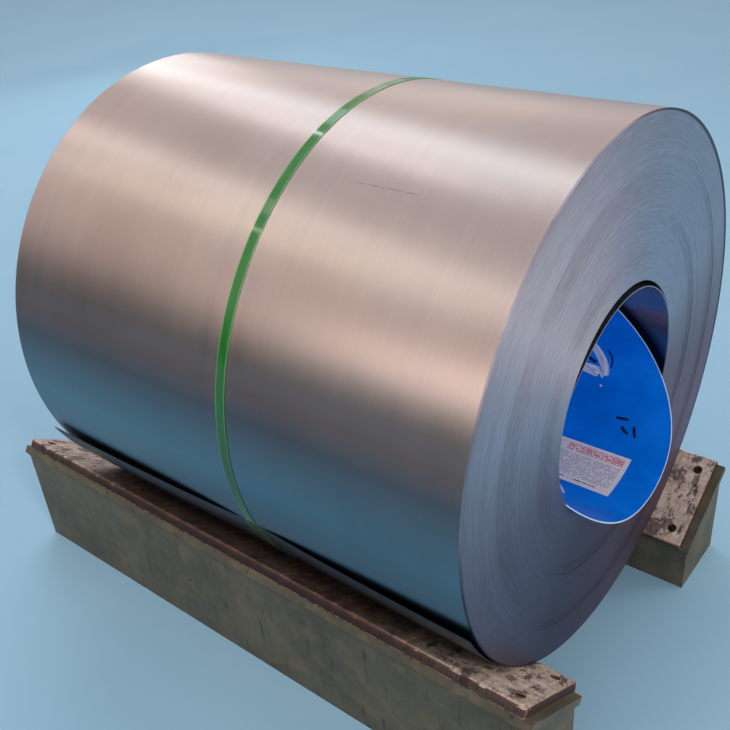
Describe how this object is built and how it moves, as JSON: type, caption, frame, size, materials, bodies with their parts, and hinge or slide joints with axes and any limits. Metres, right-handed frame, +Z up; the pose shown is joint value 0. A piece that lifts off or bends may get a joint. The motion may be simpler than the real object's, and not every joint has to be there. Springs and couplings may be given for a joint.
{
  "type": "steel coil",
  "caption": "Coil of bare cold-rolled steel strip with a plastic strap and a rolled bore liner, lying on the timber-faced rails of a coil saddle.",
  "frame": {"origin": "on the floor, under the coil's axis and half way along the saddle rails", "axes": "+X along the coil's axis towards the end where the bore liner stands out, +Y across the rails, from the high front rail to the low rear rail, +Z up"},
  "size_m": [1.636, 1.1826, 1.3014],
  "materials": {
    "coil_steel": "bare cold-rolled strip, satin with a soft mirror sheen",
    "strap_plastic": "glossy green extruded strap",
    "liner_plastic": "smooth bright blue sheet with a pale cut edge",
    "board_wood": "worn and dirty sawn hardwood",
    "bearer_paint": "old green paint, dusty and chipped"
  },
  "bodies": {
    "root": {"steel_coil": "coil_steel", "strap": "strap_plastic", "bore_liner": "liner_plastic", "front_board": "board_wood", "rear_board": "board_wood", "front_bearer": "bearer_paint", "rear_bearer": "bearer_paint"}
  },
  "joints": []
}
